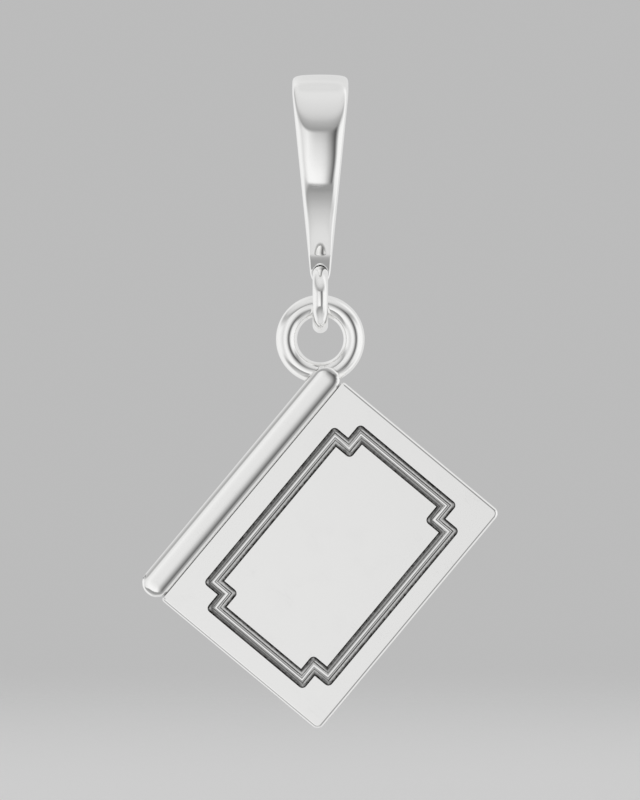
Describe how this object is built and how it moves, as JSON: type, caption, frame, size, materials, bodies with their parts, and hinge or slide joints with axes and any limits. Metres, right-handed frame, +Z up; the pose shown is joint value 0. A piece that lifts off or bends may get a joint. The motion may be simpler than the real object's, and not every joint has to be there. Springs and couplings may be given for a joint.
{
  "type": "book pendant",
  "caption": "Silver pendant in the form of a small closed book with a notched frame sunk in its cover, hung by one corner from a round link and a tapered bail.",
  "frame": {"origin": "middle of the inside of the bail's crest, where a chain bears and the pendant hangs", "axes": "+X runs to the right of the front view, along the chain through the bail; +Y points away from the viewer, so the book's front faces -Y; +Z points up as the pendant hangs"},
  "size_m": [0.0178, 0.0054, 0.0327],
  "materials": {
    "bail_silver": null,
    "link_silver": null,
    "book_silver": null
  },
  "bodies": {
    "bail": {"bail": "bail_silver"},
    "link": {"link": "link_silver"},
    "book": {"book": "book_silver"}
  },
  "joints": [
    {"name": "link_swing", "type": "hinge", "parent": "bail", "child": "link", "pos_m": [0, 0, -0.00913], "axis": [0, 1, 0], "range_deg": [-90, 90]},
    {"name": "book_swing", "type": "hinge", "parent": "link", "child": "book", "pos_m": [0, 0, -0.01076], "axis": [1, 0, 0], "range_deg": [-90, 90]}
  ]
}
